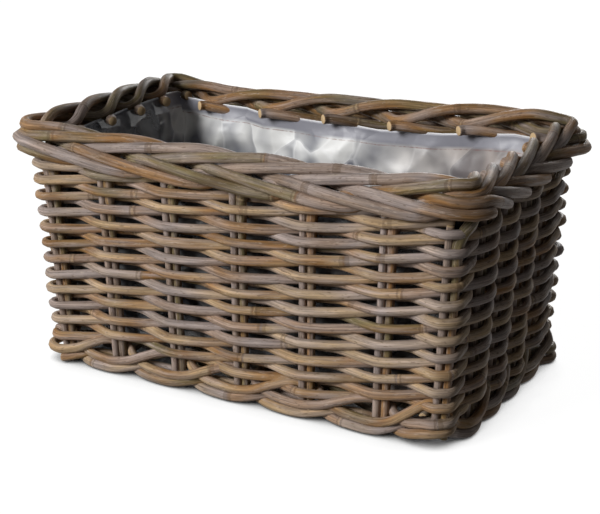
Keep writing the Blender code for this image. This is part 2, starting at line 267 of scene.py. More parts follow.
def gap_length(turn, height):
    """Length of the gap between stakes that a turn falls in."""
    gap = np.floor(np.mod(turn, STAKE_COUNT)).astype(int)
    long_half, short_half = half_sizes(height)
    run = np.where(SIDE_OF[gap] % 2 == 0, long_half, short_half)
    return 2 * run * (SHARE_AFTER[gap] - SHARE_BEFORE[gap])


def ring(turn, height):
    """Points and outward normals on the line of the stakes.

    The line is a rectangle with round corners that widens with height. A turn is a stake's number, and
    between two stakes it runs evenly along the line. Its station on a side is half a corner arc, the
    straight run, and half an arc: the arc gives sine and cosine terms, and the run a linear one.
    """
    turn = np.mod(turn, STAKE_COUNT)
    gap = np.floor(turn).astype(int)
    share = turn - gap
    side = SIDE_OF[gap]
    long_half, short_half = half_sizes(height)
    run_half = np.where(side % 2 == 0, long_half, short_half)
    deep_half = np.where(side % 2 == 0, short_half, long_half)
    s = sizes()
    radius = np.interp(height, [s.wall_height, s.wall_height + 15 * MM], [s.corner_radius, s.border_radius])
    half_arc = radius * math.pi / 4
    straight = 2 * (run_half - radius)

    def station(stake):
        inner = half_arc + 2 * run_half * stake - radius
        return np.where(stake <= 0, 0, np.where(stake >= 1, 2 * half_arc + straight, inner))

    way = station(SHARE_BEFORE[gap]) * (1 - share) + station(SHARE_AFTER[gap]) * share
    angle = np.clip((way - half_arc) / radius, -math.pi / 4, 0)
    angle = angle + np.clip((way - half_arc - straight) / radius, 0, math.pi / 4)
    sine, cosine = np.sin(angle), np.cos(angle)
    middle = np.clip(way - half_arc, 0, straight) - straight / 2
    cos_side = np.array([1, 0, -1, 0])[side]
    sin_side = np.array([0, 1, 0, -1])[side]

    def turned(along, deep):
        return np.stack([along * cos_side + deep * sin_side, along * sin_side - deep * cos_side], axis=-1)

    return turned(middle + radius * sine, deep_half - radius + radius * cosine), turned(sine, cosine)


def place(turn, out, height):
    """Points this far out from the line of the stakes, and the outward directions there."""
    turn, out, height = np.broadcast_arrays(*(np.asarray(a, float) for a in (turn, out, height)))
    spot, normal = ring(turn, height)
    points = np.column_stack([spot + normal * out[:, None], height])
    return points, np.column_stack([normal, np.zeros(len(height))])


def corner_share(turn):
    """How near a turn is to a corner of the border: powers of its place along and across the top."""
    top = sizes().wall_height
    spot, _ = ring(turn, np.full(np.shape(turn), top))
    near = np.clip(np.abs(spot) / np.stack(half_sizes(top)), 0, 1)
    return near[..., 0] ** 4 * near[..., 1] ** 2


def table_at(turn, table, column=1):
    """Reads a column of a table of turns, on straight lines between its rows."""
    rows = np.array(table, float)
    return np.interp(turn, rows[:, 0], rows[:, column], period=STAKE_COUNT)


def border_rise(turn):
    """How far the border stands over its even height there, as the hand laid it."""
    return table_at(turn, BORDER_EASE) * MM


def border_top(turn):
    """Height of the border's top: level along a side, rising into a corner, with the hand's own rise."""
    return sizes().border_height + sizes().corner_rise * corner_share(turn) + border_rise(turn)


def border_share(turn):
    """How closely the border's rods lie over each other, as a share of the even room."""
    return table_at(turn, BORDER_EASE, 2)


def smooth_way(knots, per_span):
    """Catmull-Rom curve through rows of knots.

    Each span is a cubic whose slope at a knot is that of the line between the two knots beside it.
    """
    knots = np.asarray(knots, float)
    padded = np.vstack([2 * knots[0] - knots[1], knots, 2 * knots[-1] - knots[-2]])
    t = np.linspace(0, len(knots) - 1, (len(knots) - 1) * per_span + 1)
    span = np.minimum(t.astype(int), len(knots) - 2)
    u = (t - span)[:, None]
    a, b, c, d = (padded[span + k] for k in range(4))
    return 0.5 * (2 * b + (c - a) * u + (2 * a - 5 * b + 4 * c - d) * u**2 + (3 * b - a - 3 * c + d) * u**3)


def wobble(along, seed, wavelength, strength):
    """Slow irregularity of a hand-laid rod: three sines of nearby wavelengths with phases from the seed."""
    random = np.random.default_rng(seed)
    phases = random.uniform(0, 2 * math.pi, 3)
    waves = wavelength * random.uniform(0.7, 1.6, 3)
    return strength / 2 * sum(np.sin(2 * math.pi * along / w + p) for w, p in zip(waves, phases))


# Meshes of rods


def lengths_along(path):
    """Length of the path up to each of its points."""
    return np.concatenate([[0], np.cumsum(np.linalg.norm(np.diff(path, axis=0), axis=1))])


def ring_quads(corner, after, rings, first):
    """Faces between rings of points: corner counts the points of a ring, and after the next ones."""
    count = len(corner)
    start = first + np.arange(rings - 1)[:, None] * count
    quads = np.stack([start + corner, start + after, start + count + after, start + count + corner], axis=-1)
    return quads.reshape(-1, 4)


def rod_shape(path, facing, thickness, seed, sides=10):
    """One rod as points, faces and attributes.

    A circle is carried along the path, its first corner turned towards the facing direction. The radius
    wanders a little and swells at the rod's knots, which lie a hand's width or two apart. Each end is
    closed by a smaller ring, for the cut's rounded edge, and a middle point.
    """
    random = np.random.default_rng(seed)
    along = lengths_along(path)
    ways = np.gradient(path, axis=0)
    ways /= np.linalg.norm(ways, axis=1, keepdims=True)
    side = facing - ways * (facing * ways).sum(axis=1, keepdims=True)
    side /= np.linalg.norm(side, axis=1, keepdims=True)
    across = np.cross(ways, side)
    knots = np.cumsum(random.uniform(110, 260, 2 + int(along[-1] / (100 * MM)))) * MM - 90 * MM
    near_knot = np.exp(-(((along[:, None] - knots[None]) / (1.6 * MM)) ** 2)).sum(axis=1)
    tones = random.uniform(0, 1, len(knots) + 1) * 0.6 + random.uniform(0, 0.4)
    tone = tones[np.searchsorted(knots, along)]
    radius = thickness / 2 * (1 + wobble(along, seed + 7, 160 * MM, 0.05) + 0.05 * near_knot)
    angle = 2 * math.pi * np.arange(sides) / sides
    cosine, sine = np.cos(angle), np.sin(angle)
    round_part = cosine[None, :, None] * side[:, None] + sine[None, :, None] * across[:, None]
    tube = path[:, None] + radius[:, None, None] * round_part
    edge = 0.5 * MM
    start, end = path[0] - ways[0] * edge, path[-1] + ways[-1] * edge
    first_cut = start + round_part[0] * (radius[0] - edge)
    last_cut = end + round_part[-1] * (radius[-1] - edge)
    points = np.vstack([start, first_cut, tube.reshape(-1, 3), last_cut, end])
    rings = len(path) + 2
    corner = np.arange(sides)
    after = (corner + 1) % sides
    quads = ring_quads(corner, after, rings, 1)
    last = len(points) - 1
    fans = [(0, 1 + b, 1 + a) for a, b in zip(corner, after)]
    fans += [(last, last - sides + a, last - sides + b) for a, b in zip(corner, after)]
    station = np.pad(np.arange(len(path)), 1, "edge")
    station = np.concatenate([[0], np.repeat(station, sides), station[-1:]])
    turned = np.tile(np.column_stack([cosine, sine]), (rings, 1)) * radius.mean()
    grain = np.column_stack([np.vstack([[0, 0], turned, [0, 0]]), along[station]]) / MM
    grain[:, 2] += 1000 * seed
    cut = np.zeros(len(points))
    cut[: 1 + sides] = 1
    cut[-1 - sides :] = 1
    marks = {"grain": grain, "cut": cut, "knot": near_knot[station] * (1 - cut), "tone": tone[station]}
    return points, quads.tolist() + fans, marks


def add_piece(name, shapes, material, nodes):
    """Joins the shapes into one mesh that stands for these solids of the frame."""
    points, faces, start = [], [], 0
    for shape_points, shape_faces, _ in shapes:
        points.append(shape_points)
        faces += [[start + corner for corner in face] for face in shape_faces]
        start += len(shape_points)
    mesh = bpy.data.meshes.new(name)
    mesh.from_pydata(np.vstack(points).tolist(), [], faces)
    mesh.polygons.foreach_set("use_smooth", np.ones(len(mesh.polygons), bool))
    for key in shapes[0][2]:
        values = np.concatenate([shape[2][key] for shape in shapes])
        kind, field = ("FLOAT_VECTOR", "vector") if values.ndim == 2 else ("FLOAT", "value")
        layer = mesh.attributes.new(key, kind, "POINT")
        layer.data.foreach_set(field, values.astype(np.float32).ravel())
    mesh.materials.append(material)
    piece = bpy.data.objects.new(name, mesh)
    bpy.context.scene.collection.objects.link(piece)
    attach(piece, "root")
    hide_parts(*nodes)
    return piece


# Materials


def add_node(tree, kind, inputs=(), **settings):
    """Adds a node. inputs pairs a socket's name or number with a value or with another node's output."""
    node = tree.nodes.new(kind)
    for name, value in settings.items():
        setattr(node, name, value)
    for name, value in inputs:
        if isinstance(value, bpy.types.NodeSocket):
            tree.links.new(value, node.inputs[name])
        else:
            node.inputs[name].default_value = value
    return node


def new_material(name):
    material = bpy.data.materials.get(name) or bpy.data.materials.new(name)
    material.use_nodes = True
    material.node_tree.nodes.clear()
    return material, material.node_tree


def set_stops(node, places, tones):
    """Puts these places and tones on a colour ramp."""
    ramp = node.color_ramp
    while len(ramp.elements) > 1:
        ramp.elements.remove(ramp.elements[-1])
    ramp.elements[0].position, ramp.elements[0].color = places[0], tones[0]
    for position, tone in zip(places[1:], tones[1:]):
        ramp.elements.new(position).color = tone


def grain_noise(tree, grain, across, along, detail=2.0, roughness=0.5):
    """Noise in a space of millimetres, with spots of this size across and along its third axis."""
    scaled = add_node(tree, "ShaderNodeMapping", [(0, grain), (3, (1 / across, 1 / across, 1 / along))])
    inputs = [("Vector", scaled.outputs[0]), ("Scale", 1.0), ("Detail", detail), ("Roughness", roughness)]
    return add_node(tree, "ShaderNodeTexNoise", inputs).outputs["Fac"]


def spread(tree, value, low, high, to_low=0.0, to_high=1.0):
    """Stretches a value from one range to another, held within it."""
    return add_node(tree, "ShaderNodeMapRange", enumerate((value, low, high, to_low, to_high))).outputs[0]


def maths(tree, operation, *values):
    return add_node(tree, "ShaderNodeMath", enumerate(values), operation=operation).outputs[0]


def attribute(tree, name, field="Fac"):
    return add_node(tree, "ShaderNodeAttribute", attribute_name=name).outputs[field]


def parts_of(tree, vector):
    """The outputs X, Y and Z of a vector."""
    return add_node(tree, "ShaderNodeSeparateXYZ", [(0, vector)]).outputs


def mixed(tree, factor, first, second, blend="MIX"):
    """Lays the second colour over the first."""
    node = add_node(tree, "ShaderNodeMix", data_type="RGBA", blend_type=blend)
    for socket, value in ((node.inputs[0], factor), (node.inputs[6], first), (node.inputs[7], second)):
        if isinstance(value, bpy.types.NodeSocket):
            tree.links.new(value, socket)
        else:
            socket.default_value = value
    return node.outputs[2]


def rattan_material(name, places, tones):
    """Weathered whole rattan rod, steamed, woven and dried.

    Between two knots a rod keeps one tone, from greyed to golden. Fibres run along it, the skin has a
    satin sheen, a knot is a pale ring with dark edges, and a cut end shows pale pith. The rods of the
    right wall and of the border's left run are darkened in their colour as painted shade.
    """
    material, tree = new_material(name)
    f = finish()
    grain = attribute(tree, "grain", "Vector")
    drift = spread(tree, grain_noise(tree, grain, 40, 90, 1.0), 0.3, 0.7, -0.15, 0.15)
    tone = maths(tree, "ADD", attribute(tree, "tone"), drift)
    palette = add_node(tree, "ShaderNodeValToRGB", [(0, tone)])
    set_stops(palette, places, tones)
    greyed = spread(tree, grain_noise(tree, grain, 5, 45, 3.0), 0.42, 0.72, 0.0, 0.75)
    body = mixed(tree, greyed, palette.outputs[0], f.grey)
    fibre = grain_noise(tree, grain, 0.9, 30, 4.0, 0.6)
    body = mixed(tree, 1.0, body, spread(tree, fibre, 0.3, 0.7, 0.56, 1.38), "MULTIPLY")
    stripe = spread(tree, grain_noise(tree, grain, 2.2, 70, 2.0), 0.35, 0.65, 0.72, 1.18)
    body = mixed(tree, 1.0, body, stripe, "MULTIPLY")
    fleck = spread(tree, grain_noise(tree, grain, 1.3, 5, 1.0), 0.62, 0.72, 0.0, 0.6)
    body = mixed(tree, fleck, body, f.umber)
    scuff = spread(tree, grain_noise(tree, grain, 1.6, 9, 3.0, 0.7), 0.58, 0.7, 0.0, 0.5)
    body = mixed(tree, scuff, body, f.scuff)
    ragged = spread(tree, grain_noise(tree, grain, 3, 2, 2.0), 0.35, 0.65, 0.55, 1.15)
    knot = maths(tree, "MULTIPLY", attribute(tree, "knot"), ragged)
    body = mixed(tree, spread(tree, knot, 0.55, 0.95, 0.0, 0.6), body, f.straw)
    rim = maths(tree, "COMPARE", knot, 0.3, 0.22)
    body = mixed(tree, spread(tree, rim, 0, 1, 0.0, 0.45), body, f.umber)
    body = mixed(tree, spread(tree, attribute(tree, "cut"), 0.2, 0.9), body, f.pith)
    place_on = parts_of(tree, add_node(tree, "ShaderNodeTexCoord").outputs["Object"])
    # Painted shade: the colour is darkened towards the right wall, which lies in shade.
    body = mixed(tree, 1.0, body, spread(tree, place_on["X"], 0.18, 0.205, 1.0, 0.6), "MULTIPLY")
    # Painted shade: the top of the border's left run is darkened to near black where it lies in shade.
    left = spread(tree, place_on["X"], -0.18, -0.165, 1.0, 0.0)
    raised = spread(tree, place_on["Z"], 0.195, 0.205)
    left_run_painted_shade = maths(tree, "MULTIPLY", left, raised)
    left_run_painted_shade = maths(tree, "MULTIPLY", left_run_painted_shade, spread(tree, place_on["Y"], -0.1, -0.07, 0.0, 0.45))
    body = mixed(tree, left_run_painted_shade, body, f.left_run_shade)
    rough = spread(tree, grain_noise(tree, grain, 2, 20), 0.3, 0.7, 0.45, 0.68)
    bump = add_node(tree, "ShaderNodeBump", [("Strength", 0.35), ("Distance", 0.25 * MM), ("Height", fibre)])
    inputs = [("Base Color", body), ("Roughness", rough), ("Normal", bump.outputs[0])]
    inputs += [("IOR", 1.45), ("Specular IOR Level", 0.16)]
    shader = add_node(tree, "ShaderNodeBsdfPrincipled", inputs)
    add_node(tree, "ShaderNodeOutputMaterial", [(0, shader.outputs[0])])
    return material


def weaver_rattan():
    """Woven rods: greyed and straw, among them tan, golden and greenish ones."""
    f = finish()
    tones = (f.grey, f.straw, f.grey, f.tan, f.straw, f.amber, f.olive)
    return rattan_material("kubu rattan, woven rods", (0.0, 0.22, 0.38, 0.55, 0.68, 0.8, 0.95), tones)


def border_rattan():
    """Stakes and border: greyed to tan, and darker brown where they have weathered."""
    f = finish()
    tones = (f.grey, f.taupe, f.grey, f.tan, f.amber, f.olive, f.umber)
    return rattan_material("kubu rattan, stakes and border", (0.0, 0.3, 0.45, 0.6, 0.75, 0.88, 1.0), tones)


def base_rattan():
    """Base rods: browner and darker than the wall."""
    f = finish()
    tones = (f.umber, f.tan, f.olive, f.grey)
    return rattan_material("kubu rattan, base rods", (0.0, 0.4, 0.7, 1.0), tones)


def film_material():
    """Clear polythene film, blown thin: see-through, a little milky, and glossy on every crease.

    Its crumples are flat panels with a fold between two, bent out of true by a noise, with a painted
    highlight along each fold. A welded seam runs round under the edge, as a faint red-brown line, and the
    doubled band over it is greyer, with a painted highlight along its cut edge. Against the back wall the
    film is silvery, with painted light and shade: whiter where a panel bulges and grey where it lies back,
    and warmer to the right as a painted reflection of the right wall's rods. In front of the other walls it
    is painted dark, as painted shade for the dark behind it.
    """
    material, tree = new_material("clear polythene film")
    f = finish()
    down = parts_of(tree, attribute(tree, "grain", "Vector"))["Y"]
    place_on = add_node(tree, "ShaderNodeTexCoord").outputs["Object"]
    scale = [(0, place_on), ("Scale", 1 / MM)]
    spot = add_node(tree, "ShaderNodeVectorMath", scale, operation="SCALE").outputs[0]
    crumple = grain_noise(tree, spot, 30, 40, 1.5, 0.4)
    fine = grain_noise(tree, spot, 6, 6, 3.0, 0.6)
    moved = enumerate((crumple, (30.0, 30.0, 30.0), spot))
    bent = add_node(tree, "ShaderNodeVectorMath", moved, operation="MULTIPLY_ADD").outputs[0]
    bent = add_node(tree, "ShaderNodeMapping", [(0, bent), (3, (1 / 42, 1 / 42, 1 / 55))]).outputs[0]
    cells = [("Vector", bent), ("Scale", 1.0)]
    panel = add_node(tree, "ShaderNodeTexVoronoi", cells)
    inside = add_node(tree, "ShaderNodeTexVoronoi", cells, feature="DISTANCE_TO_EDGE").outputs["Distance"]
    height = maths(tree, "MULTIPLY_ADD", fine, 0.06, inside)
    bump = add_node(tree, "ShaderNodeBump", [("Strength", 0.4), ("Distance", 7 * MM), ("Height", height)])
    glance = [("Blend", 0.35), ("Normal", bump.outputs[0])]
    glance = add_node(tree, "ShaderNodeLayerWeight", glance).outputs["Facing"]
    place_on = parts_of(tree, place_on)
    back = spread(tree, place_on["Y"], 0.045, 0.075)
    on_wall = spread(tree, place_on["Z"], 0.035, 0.05)
    milk = maths(tree, "MAXIMUM", spread(tree, glance, 0.0, 1.0, 0.7, 0.95), back)
    milk = maths(tree, "MULTIPLY", milk, spread(tree, on_wall, 0, 1, 0.45, 1.0))
    tone = parts_of(tree, panel.outputs["Color"])["X"]
    # Painted light and shade: film panels are whiter where they bulge towards the light and grey where they
    # lie back.
    painted_facet_light = maths(tree, "MULTIPLY_ADD", tone, 0.3, crumple)
    body = mixed(tree, spread(tree, painted_facet_light, 0.5, 0.76), f.film, f.film_painted_fold_shade)
    # Painted highlight: white along the film's creases.
    body = mixed(tree, spread(tree, inside, 0.0, 0.05, 0.35, 0.0), body, f.white)
    # Painted reflection: the film turns warm towards the right, as if mirroring the rods of the right wall.
    warm_body = mixed(tree, spread(tree, painted_facet_light, 0.46, 0.74), f.film_warm, f.film_warm_grey)
    body = mixed(tree, spread(tree, place_on["X"], 0.0, 0.14, 0.0, 0.85), body, warm_body)
    body = mixed(tree, spread(tree, down, SEAM_DEPTH - 3, SEAM_DEPTH), f.film_band, body)
    seam = maths(tree, "COMPARE", down, SEAM_DEPTH, 0.5)
    seam = maths(tree, "MULTIPLY", seam, spread(tree, fine, 0.4, 0.6, 0.1, 0.6))
    body = mixed(tree, seam, body, f.film_seam)
    # Painted highlight: a thin white line along the film's cut edge.
    body = mixed(tree, spread(tree, down, 0.5, 1.3, 0.8, 0.0), body, f.white)
    # Painted shade: the film on the front, left and right walls is darkened, most on the walls and little on
    # the floor.
    painted_dark_share = spread(tree, back, 0, 1, 1.0, 0.0)
    painted_dark_share = maths(tree, "MULTIPLY", painted_dark_share, spread(tree, on_wall, 0, 1, 0.1, 0.85))
    body = mixed(tree, painted_dark_share, body, f.film_painted_shade)
    inputs = [("Base Color", body), ("Roughness", 0.42), ("IOR", 1.5), ("Alpha", milk)]
    shader = add_node(tree, "ShaderNodeBsdfPrincipled", [*inputs, ("Normal", bump.outputs[0])])
    add_node(tree, "ShaderNodeOutputMaterial", [(0, shader.outputs[0])])
    return material


# Pieces


def strand_climb():
    """How much a strand climbs from stake to stake: all the strands' layers in one lap."""
    return STRAND_COUNT * sizes().layer / STAKE_COUNT


def weave_reach():
    """How far a woven rod lies in or out of the line of the stakes."""
    s = sizes()
    return (s.stake_thickness + s.weaver_thickness) / 2 + 0.6 * MM


def strand_ends(strand):
    """The stakes behind which a climbing strand starts and ends.

    It starts at the weave's foot and ends under the border, up to a short way past either.
    """
    s = sizes()
    climb = strand_climb()
    low = s.weave_zero + strand * s.layer
    top = s.weave_top + 3.5 * MM
    first = math.ceil((s.weave_foot - 2.5 * MM - low) / climb)
    last = math.floor((top - low) / climb)
    last = math.floor((top + border_rise(last) - low) / climb)
    return first + (first + strand) % 2, last - (last + strand) % 2


def strand_rod(strand, first, last, seed):
    """One rod of a climbing strand.

    Its way out is a wave between straight slopes and rounded crests (the arcsine of a cosine of the
    turn), so that it stands behind one stake and in front of the next. The turn is first shifted by half
    a sine wave in each gap, because a rod comes out late and close under its neighbour. Its height climbs
    evenly with the turn. A slow wave that all strands share is added, and a short lift where a rod comes
    out.
    """
    s = sizes()
    turn = np.linspace(first + 0.05, last - 0.07, (last - first) * 20)
    gap = np.mod(turn, 1)
    swing = -np.cos(math.pi * (turn - 0.11 * np.sin(math.pi * gap) + strand))
    swing = np.arcsin(0.94 * swing) / math.asin(0.94)
    around = turn * GAP
    out = swing * weave_reach() + wobble(around, seed + 1, 120 * MM, 0.8 * MM)
    high = s.weave_zero + strand * s.layer + turn * strand_climb()
    coming = np.exp(-(((np.mod(turn + strand, 2) - 0.4) / 0.2) ** 2))
    high = high + 1.6 * MM * coming + s.weave_sway * np.cos(8 * math.pi * (turn - 0.75) / STAKE_COUNT)
    top = s.weave_top + border_rise(turn)
    high = np.clip(high + wobble(around, seed + 2, 210 * MM, 0.9 * MM), s.weave_foot, top)
    turn = shifted(turn)
    path, facing = place(turn, out * corner_reach(turn, out), high)
    return rod_shape(path, facing, s.weaver_thickness * (1 + 0.08 * math.sin(seed)), seed)


def corner_reach(turn, out):
    """The share of its even reach at which a rod outside the stakes goes round a corner."""
    return np.where(out > 0, table_at(turn, CORNER_REACH), 1)


def shifted(turn):
    """A weaver's turn, moved along with the corner stakes, close to which it goes in or comes out."""
    lap = np.floor(turn / STAKE_COUNT) * STAKE_COUNT
    even = np.arange(-1, STAKE_COUNT + 2)
    turns, moved = np.vstack([np.column_stack([even, STAKE_TURNS]), CORNER_CROSSINGS]).T
    order = np.argsort(turns)
    return np.interp(turn - lap, turns[order], moved[order]) + lap


def wale_rod(row, first, lead, seed):
    """One rod of the wale: a smooth curve through its route, once round, less a lead at its start.

    It never sinks into the floor, and a bell curve of the turn lifts it at the front right corner.
    """
    s = sizes()
    route = np.array(WALE_ROUTE_SHARES[row], float)
    knots = np.vstack([route + (2 * lap, 0, 0) for lap in range(STAKE_COUNT // 2)])
    knots = np.vstack([knots, route[0] + (STAKE_COUNT - 0.04, 0, 0)])
    knots[0, 0] += 0.04
    way = smooth_way(knots, 6)
    way = way[way[:, 0] > lead]
    high = way[:, 2] * s.layer + wobble(way[:, 0] * GAP, seed, 250 * MM, 0.7 * MM * row)
    turn = shifted(way[:, 0] + first)
    out = way[:, 1] * weave_reach() * corner_reach(turn, way[:, 1])
    past = np.mod(turn, STAKE_COUNT) - FRONT_RIGHT_CORNER + 0.1
    high = np.maximum(high, 0.56 * s.weaver_thickness) + WALE_RISE * np.exp(-((past / 0.45) ** 2))
    path, facing = place(turn, out, high)
    return rod_shape(path, facing, s.weaver_thickness * (0.98 + 0.04 * row), seed)


def border_tones_with_painted_shade(points, tone):
    """A border rod's tones: painted shade on the left run and at the front right corner, and darker behind.
    """
    s = sizes()
    x, y, z = points.T
    # Painted shade: the border's left run is darkened where it lies in shade.
    left = np.interp(x, [-s.top_length / 2 - 2 * MM, 25 * MM - s.top_length / 2], [1, 0])
    left = left * np.interp(y, [-0.35 * s.top_width, 0], [0, 1])
    tone = tone + (0.93 - tone) * left
    behind = np.interp(y, [0.6 * s.top_width / 2, s.top_width / 2], [0, 1])
    tone = tone + (0.68 - 0.73 * tone) * behind
    # Painted shade: the rods round the front right corner of the border are darkened where they lie in shade.
    away = np.hypot(x - s.top_length / 2, y + s.top_width / 2)
    near = 0.7 * np.exp(-((away / (38 * MM)) ** 2)) * (z > s.weave_top)
    return tone + (0.95 - tone) * near


def border_run(stake):
    """A stake's way through the border, as rows of turn, way out and height.

    The route leans out at the corners, most at the top of the front left one: a bell curve of the turn.
    """
    s = sizes()
    route = np.array(BORDER_ROUTE_SHARES, float)
    turn = stake + route[:, 0]
    drops, leans = np.array(FRONT_LEFT_LEAN).T
    from_corner = np.mod(turn + STAKE_COUNT / 2, STAKE_COUNT) - STAKE_COUNT / 2
    extra = np.interp(route[:, 2], drops, leans) - CORNER_LEAN
    lean = CORNER_LEAN + extra * np.exp(-((from_corner / 1.8) ** 2))
    out = s.corner_flare * corner_share(turn) * lean + route[:, 1] * s.border_lay
    return np.column_stack([turn, out, border_top(turn) - route[:, 2] * s.border_drop * border_share(turn)])


def stake_rods(stake):
    """A stake with its border run, and the bye-stake beside it, as two shapes."""
    s = sizes()
    here = STAKE_TURNS[stake + 1]
    low = SHORT_FEET if stake == FRONT_RIGHT_CORNER else FOOT_GAP
    heights = np.linspace(low, s.wall_height - s.border_lay, 8)
    ahead = s.pair_room / 2 / gap_length(here, heights)
    foot = np.column_stack([here + ahead, np.zeros(len(heights)), heights])
    way = smooth_way(np.vstack([foot, border_run(stake)]), 10)
    path, facing = place(way[:, 0], way[:, 1], way[:, 2])
    share = np.clip((way[:, 2] - heights[-2]) / (2 * s.border_lay), 0, 1)
    share[len(heights) * 10 :] = 1
    thickness = s.stake_thickness + (s.border_thickness - s.stake_thickness) * share
    main = rod_shape(path, facing, thickness, 300 + 2 * stake)
    points, _, marks = main
    marks["tone"][points[:, 2] < s.weave_top] = 0.85 + 0.12 * math.sin(stake)
    marks["tone"] = border_tones_with_painted_shade(points, marks["tone"])
    heights = np.linspace(low, s.weave_top - 1 * MM, 24)
    back = s.pair_room / 2 / gap_length(here - 0.01, heights)
    path, facing = place(here - back, np.zeros(len(heights)), heights)
    bye = rod_shape(path, facing, s.stake_thickness, 301 + 2 * stake)
    bye[2]["tone"] *= 0.4
    return [main, bye]


def stick_ends():
    """Front and back end of each cross stick: one at each end of the base, and one to each stake pair."""
    s = sizes()
    ends = []
    for number in range(FRONT_RIGHT_CORNER + 1):
        turn = np.array([number, BACK_LEFT_CORNER - number], float)
        pair, _ = place(turn, -s.stake_thickness / 2, s.base_height)
        if number in (0, FRONT_RIGHT_CORNER):
            lo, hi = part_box(f"base_stick_{number + 1}")
            middle, inset = (lo[0] + hi[0]) / 2, 6 * MM
            pair = np.array([[middle, lo[1] + inset, s.base_height], [middle, hi[1] - inset, s.base_height]])
        ends.append(pair)
    return ends


def base_rod(sticks):
    """The rod of the base: passes to and fro, whose height is a cosine of the stick number.

    Each next pass is half a wave behind, so it goes over where the last one went under. A turn between
    two passes is half a circle.
    """
    s = sizes()
    lift = (s.stick_thickness + s.weaver_thickness) / 2
    _, half = half_sizes(s.base_height)
    lines = np.linspace(s.base_inset - half, half - s.base_inset, s.base_passes)
    pitch = lines[1] - lines[0]
    number = np.linspace(0, len(sticks) - 1, 91)
    points = []
    for line, y in enumerate(lines):
        share = (y - sticks[1][0, 1]) / (sticks[1][1, 1] - sticks[1][0, 1])
        middles = [ends[0, 0] * (1 - share) + ends[1, 0] * share for ends in sticks]
        x = np.interp(number, np.arange(len(sticks)), middles)
        z = s.base_height + lift * np.cos(math.pi * (number + line))
        run = np.column_stack([x, np.full(len(x), y), z])
        if line % 2:
            run = run[::-1]
        points.append(run)
        if line < len(lines) - 1:
            angle = np.linspace(0, math.pi, 11)[1:-1]
            edge = run[-1, 0] + math.copysign(1, run[-1, 0]) * (3 * MM + pitch / 2 * np.sin(angle))
            end = z[0] if line % 2 else z[-1]
            height = s.base_height + (end - s.base_height) * np.cos(angle)
            points.append(np.column_stack([edge, y + pitch / 2 * (1 - np.cos(angle)), height]))
    path = np.vstack(points)
    return rod_shape(path, UP, s.weaver_thickness - 0.6 * MM, 420)


class PLANTER_OT_weavers(bpy.types.Operator):
    """Weaves the wall: strands that climb side by side, each of two rods that follow on each other"""

    bl_idname = "planter.weavers"
    bl_label = "Weave the wall"

    def execute(self, context):
        material = weaver_rattan()
        for strand in range(STRAND_COUNT):
            first, last = strand_ends(strand)
            middle = first + 2 * round((last - first) / 4)
            for rod, start, end in (("a", first, middle), ("b", middle, last)):
                shape = strand_rod(strand, start, end, 10 + 2 * strand + (rod == "b"))
                number = f"{strand + 1:02d}_{rod}"
                add_piece(f"woven_rod_{number}", [shape], material, [f"weaver_{number}"])
        return {"FINISHED"}


class PLANTER_OT_wale(bpy.types.Operator):
    """Lays the wale at the foot of the wall: two rows, each of two rods that cross in every gap"""

    bl_idname = "planter.wale"
    bl_label = "Lay the wale"

    def execute(self, context):
        material = weaver_rattan()
        for row in range(len(WALE_ROUTE_SHARES)):
            for rod in (0, 1):
                first, lead = BACK_LEFT_CORNER - 1 - rod, 0
                if (row, rod) == (0, 1):
                    first, lead = STAKE_COUNT - 1, 0.95
                shape = wale_rod(row, first, lead, 100 + 2 * row + rod)
                number = f"{row + 1}_{'ab'[rod]}"
                add_piece(f"wale_rod_{number}", [shape], material, [f"wale_{number}"])
        return {"FINISHED"}


class PLANTER_OT_stakes(bpy.types.Operator):
    """Stands the stake pairs and plaits their upper ends into the border"""

    bl_idname = "planter.stakes"
    bl_label = "Stand the stakes and plait the border"

    def execute(self, context):
        material = border_rattan()
        for stake in range(STAKE_COUNT):
            number = f"{stake + 1:02d}"
            add_piece(f"stake_pair_{number}", stake_rods(stake), material, [f"stake_{number}"])
        return {"FINISHED"}


class PLANTER_OT_base(bpy.types.Operator):
    """Lays the base: cross sticks, and one rod woven to and fro over and under them"""

    bl_idname = "planter.base"
    bl_label = "Lay the base"

    def execute(self, context):
        material = base_rattan()
        sticks = stick_ends()
        for number, ends in enumerate(sticks, 1):
            share = np.linspace(0, 1, 24)[:, None]
            path = ends[0] * (1 - share) + ends[1] * share
            shape = rod_shape(path, UP, sizes().stick_thickness, 400 + number)
            add_piece(f"cross_stick_{number}", [shape], material, [f"base_stick_{number}"])
        add_piece("base_rod", [base_rod(sticks)], material, ["base_weaver"])
        return {"FINISHED"}


class PLANTER_OT_liner(bpy.types.Operator):
    """Hangs the creased film liner inside the wall"""

    bl_idname = "planter.liner"
    bl_label = "Fit the film liner"

    def execute(self, context):
        fit_liner()
        return {"FINISHED"}


